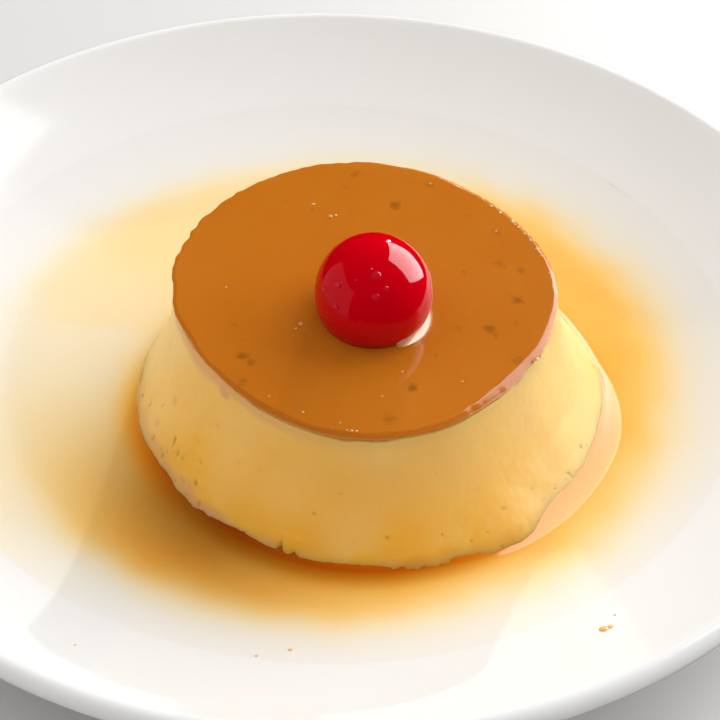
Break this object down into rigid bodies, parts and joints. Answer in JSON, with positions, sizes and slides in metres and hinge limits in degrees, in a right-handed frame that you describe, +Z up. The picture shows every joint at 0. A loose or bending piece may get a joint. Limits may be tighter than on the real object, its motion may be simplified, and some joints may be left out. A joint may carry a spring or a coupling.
{
  "type": "creme caramel flan on a plate",
  "caption": "Turned-out creme caramel flan with a caramel top and a cherry, in a pool of caramel sauce on a round white plate.",
  "frame": {"origin": "middle of the plate's foot, on the surface it stands on", "axes": "+Z up, -Y towards the front of the flan, +X to its right"},
  "size_m": [0.191, 0.191, 0.0471],
  "materials": {
    "porcelain": "white glazed porcelain, glossy",
    "custard": "baked egg custard, pale yellow, satin",
    "caramel": "set caramel, brown-orange, moist and glossy",
    "cherry": "candied cherry skin, bright red, high gloss",
    "sauce": "thin caramel sauce, amber, wet gloss"
  },
  "bodies": {
    "root": {"plate": "porcelain", "custard": "custard", "caramel_layer": "caramel", "cherry": "cherry", "caramel_sauce": "sauce"}
  },
  "joints": []
}
